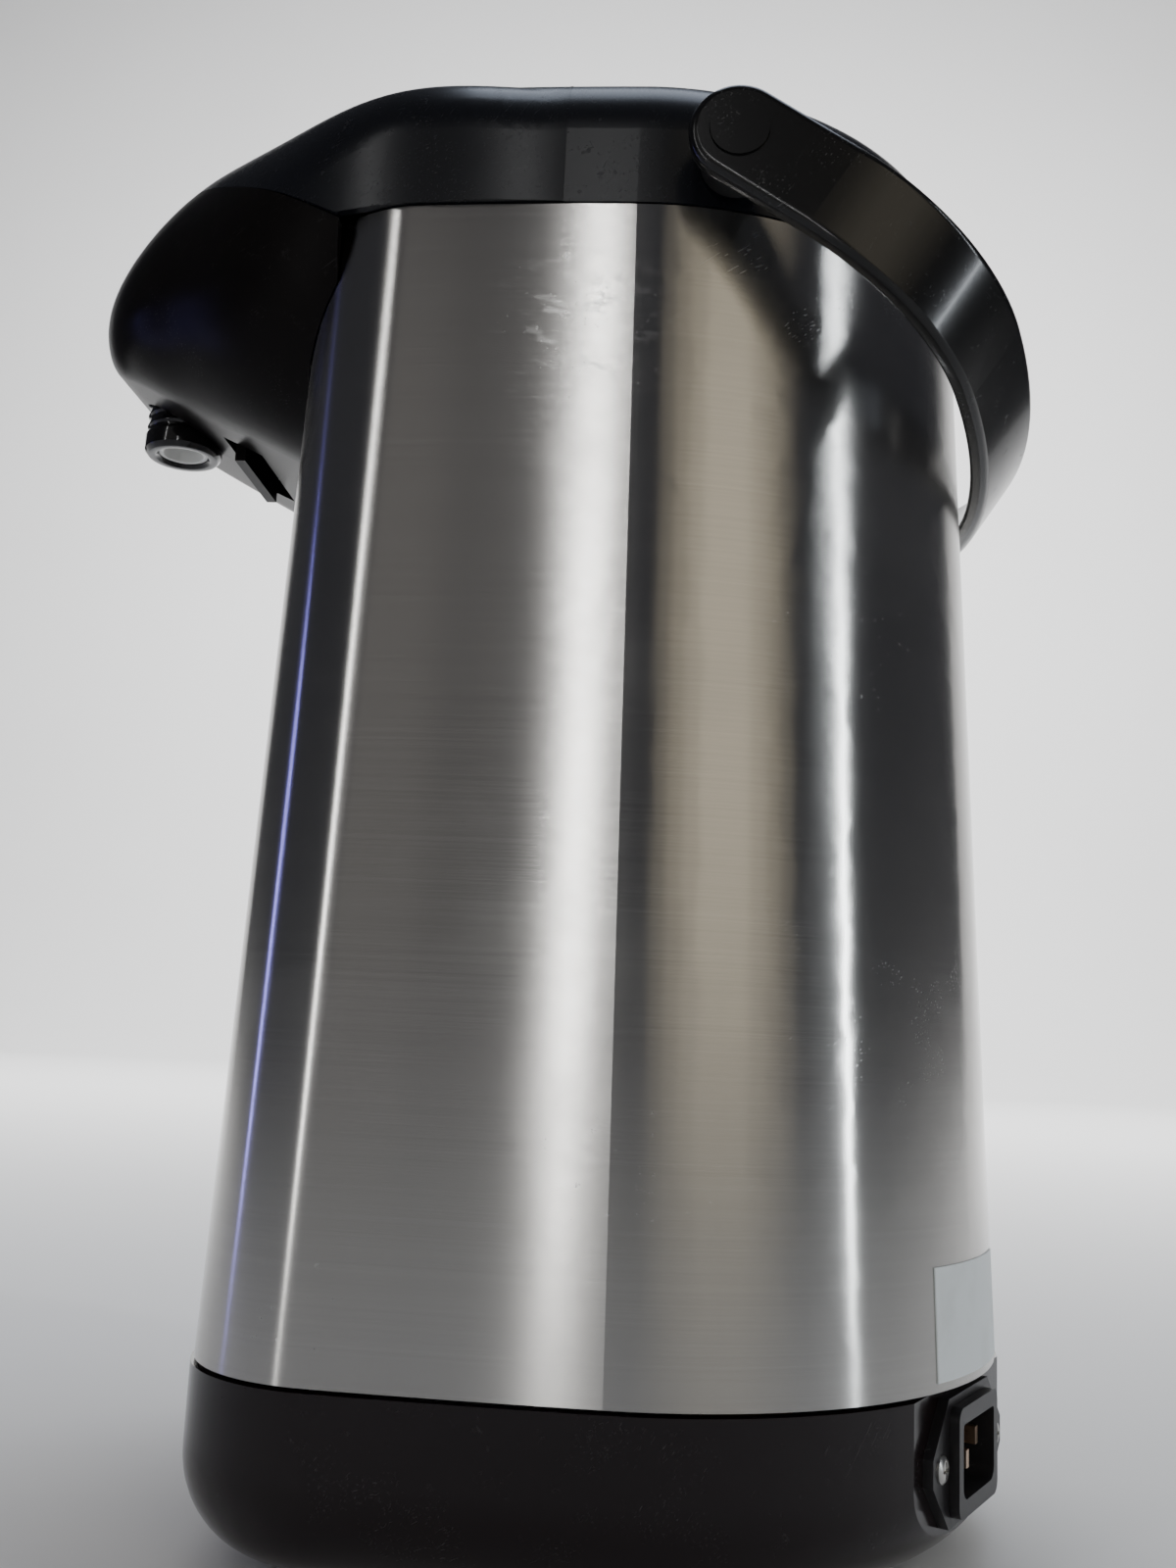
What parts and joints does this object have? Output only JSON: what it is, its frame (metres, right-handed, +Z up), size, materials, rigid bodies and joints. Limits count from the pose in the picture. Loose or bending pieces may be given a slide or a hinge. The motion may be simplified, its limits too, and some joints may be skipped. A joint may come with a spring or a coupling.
{
  "type": "electric thermo pot",
  "caption": "Tall insulated electric water pot with a brushed steel body, black beak with nozzle and cup lever, hinged lid with air pump, bail handle and rear mains inlet.",
  "frame": {"origin": "centre of the foot pad's underside, under the middle of the body", "axes": "+Z up, -Y towards the beak at the front, +Y towards the handle grip and mains inlet at the back"},
  "size_m": [0.2102, 0.2685, 0.3751],
  "materials": {
    "brushed_shell": "fine horizontal brushing",
    "gloss_brown_black": "gloss",
    "matte_black": "matte",
    "rubber": "matte",
    "zinc": "bright zinc plate",
    "satin_black": "satin",
    "brass_pins": "bright",
    "label_paper": "satin film",
    "bright_steel": "bright drawn",
    "cast_aluminium": "as cast",
    "heater_band": "varnished",
    "white_plastic": "satin",
    "board_green": "solder mask",
    "silicone": "translucent matte",
    "clear": "clear",
    "gloss_black": "gloss",
    "panel_grey": "satin",
    "led_lens": "gloss",
    "key_grey": "soft satin"
  },
  "bodies": {
    "pot": {"outer_shell": "brushed_shell", "base_shell": "gloss_brown_black", "bottom_plate": "matte_black", "foot_pad": "rubber", "bottom_screws": "zinc", "inlet_housing": "satin_black", "inlet_pins": "brass_pins", "inlet_screws": "zinc", "blank_label": "label_paper", "inner_pot": "bright_steel", "heater_plate": "cast_aluminium", "band_heater": "heater_band", "thermostat": "satin_black", "thermal_fuse": "white_plastic", "circuit_board": "board_green", "transformer": "heater_band", "pump_housing": "white_plastic", "pump_motor": "zinc", "riser_tube": "silicone", "outlet_pipe": "silicone", "gauge_window": "clear", "head_shell": "satin_black", "mouth_ring": "white_plastic", "hinge_pin": "zinc", "beak_cover": "gloss_black", "nozzle": "gloss_black", "lever_pin": "zinc", "control_panel": "panel_grey", "panel_board": "board_green", "led_lenses": "led_lens", "handle_bushes": "matte_black", "pivot_pins": "zinc", "pivot_plates": "zinc"},
    "impeller": {"pump_impeller": "white_plastic"},
    "lid": {"lid_shell": "satin_black", "hinge_arm": "satin_black", "lid_liner": "bright_steel", "lid_gasket": "silicone", "latch_pin": "zinc", "steam_vent": "matte_black", "bellows": "rubber", "press_spring": "zinc"},
    "latch": {"lid_latch": "gloss_black"},
    "press": {"press_plate": "gloss_black"},
    "cup_lever": {"cup_lever": "gloss_black"},
    "unlock_key": {"unlock_key": "key_grey"},
    "dispense_key": {"dispense_key": "key_grey"},
    "reboil_key": {"reboil_key": "key_grey"},
    "bail": {"handle": "gloss_black", "pivot_caps": "gloss_black"}
  },
  "joints": [
    {"name": "handle_swing", "type": "hinge", "parent": "pot", "child": "bail", "pos_m": [0, 0.027, 0.331], "axis": [1, 0, 0], "range_deg": [0, 150]},
    {"name": "lid_hinge", "type": "hinge", "parent": "pot", "child": "lid", "pos_m": [0, 0.078, 0.358], "axis": [-1, 0, 0], "range_deg": [0, 80]},
    {"name": "latch_lift", "type": "hinge", "parent": "lid", "child": "latch", "pos_m": [0, -0.05, 0.3592], "axis": [-1, 0, 0], "range_deg": [0, 20], "stiffness_Nm_per_rad": 0.2},
    {"name": "press_stroke", "type": "slide", "parent": "lid", "child": "press", "axis": [0, 0, -1], "range_m": [0, 0.018], "stiffness_N_per_m": 400, "springref_m": -0.001, "deforming": ["bellows", "press_spring"]},
    {"name": "cup_lever_push", "type": "hinge", "parent": "pot", "child": "cup_lever", "pos_m": [0, -0.114, 0.293], "axis": [1, 0, 0], "range_deg": [0, 14], "stiffness_Nm_per_rad": 0.1, "springref_deg": -2.86},
    {"name": "unlock_press", "type": "slide", "parent": "pot", "child": "unlock_key", "axis": [0, 0, -1], "range_m": [0, 0.001], "stiffness_N_per_m": 600, "springref_m": -0.0005},
    {"name": "dispense_press", "type": "slide", "parent": "pot", "child": "dispense_key", "axis": [0, 0, -1], "range_m": [0, 0.001], "stiffness_N_per_m": 600, "springref_m": -0.0005},
    {"name": "reboil_press", "type": "slide", "parent": "pot", "child": "reboil_key", "axis": [0, 0, -1], "range_m": [0, 0.001], "stiffness_N_per_m": 600, "springref_m": -0.0005},
    {"name": "impeller_spin", "type": "hinge", "parent": "pot", "child": "impeller", "pos_m": [0, -0.034, 0.01], "axis": [0, 0, 1], "continuous": true}
  ]
}
